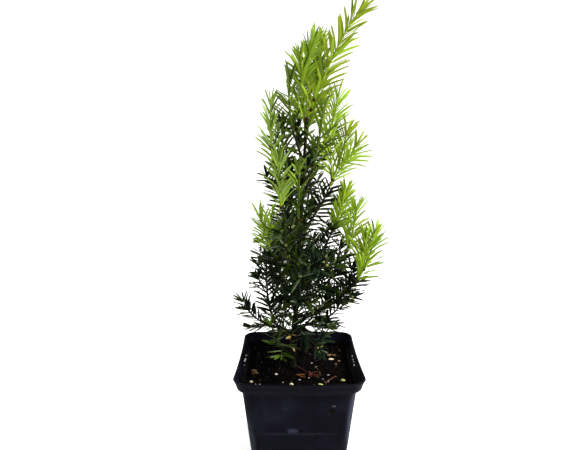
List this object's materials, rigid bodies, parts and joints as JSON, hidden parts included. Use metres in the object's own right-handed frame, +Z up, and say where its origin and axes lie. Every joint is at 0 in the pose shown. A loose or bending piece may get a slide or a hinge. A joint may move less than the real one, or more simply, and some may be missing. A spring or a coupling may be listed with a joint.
{
  "type": "potted english yew",
  "caption": "Young English yew with dark old sprays and pale new growth, rooted in potting mix in a tapered square nursery pot that it stands on.",
  "frame": {"origin": "centre of the pot's flat underside, at the level the pot stands on", "axes": "+Z up, +X to the right and -Y to the front as the picture shows the plant; the pot's sides lie along X and Y"},
  "size_m": [0.1132, 0.1131, 0.3492],
  "materials": {
    "pot_plastic": "near-black moulded plastic, faint sheen, light scuffs",
    "potting_mix": "dark peaty crumbs with bark chips and pale grains",
    "bark": "thin brown bark, fissured and flaking on the stem, smooth on boughs",
    "needles_old": "waxy dark green, satin",
    "needles_new": "soft yellow-green, satin"
  },
  "bodies": {
    "root": {"pot": "pot_plastic", "potting_mix": "potting_mix", "trunk": "bark", "new_growth_leader": "needles_new", "new_growth_second_leader": "needles_new", "new_growth_back_leader": "needles_new", "spray_left_top": "needles_old", "new_growth_left_top": "needles_new", "bough_left_high": "bark", "spray_left_high": "needles_old", "new_growth_left_high": "needles_new", "spray_left_high_inner": "needles_old", "new_growth_left_high_inner": "needles_new", "spray_left_inner": "needles_old", "new_growth_left_inner": "needles_new", "bough_left_mid": "bark", "spray_left_mid": "needles_old", "new_growth_left_mid": "needles_new", "bough_left_low": "bark", "spray_left_low": "needles_old", "spray_left_lowest": "needles_old", "spray_right_top": "needles_old", "new_growth_right_top": "needles_new", "spray_right_inner": "needles_old", "new_growth_right_inner": "needles_new", "bough_right_high": "bark", "spray_right_high": "needles_old", "new_growth_right_high": "needles_new", "bough_right_upper_mid": "bark", "spray_right_upper_mid": "needles_old", "new_growth_right_upper_mid": "needles_new", "bough_right_mid": "bark", "spray_right_mid": "needles_old", "new_growth_right_mid": "needles_new", "bough_right_low": "bark", "spray_right_low": "needles_old", "new_growth_right_low": "needles_new", "spray_right_lowest": "needles_old", "spray_right_lowest_back": "needles_old", "spray_front_left_low": "needles_old", "spray_front_right_low": "needles_old", "spray_front_high": "needles_old", "new_growth_front_high": "needles_new", "spray_front_mid": "needles_old", "spray_front_right_mid": "needles_old", "spray_front_left_mid": "needles_old", "bough_back_low": "bark", "spray_back_low": "needles_old", "bough_back_left": "bark", "spray_back_left": "needles_old", "bough_back_right": "bark", "spray_back_right": "needles_old", "new_growth_back_right": "needles_new", "spray_back_mid": "needles_old", "new_growth_back_mid": "needles_new", "spray_back_high": "needles_old", "new_growth_back_high": "needles_new", "spray_back_top": "needles_old", "new_growth_back_top": "needles_new"}
  },
  "joints": []
}
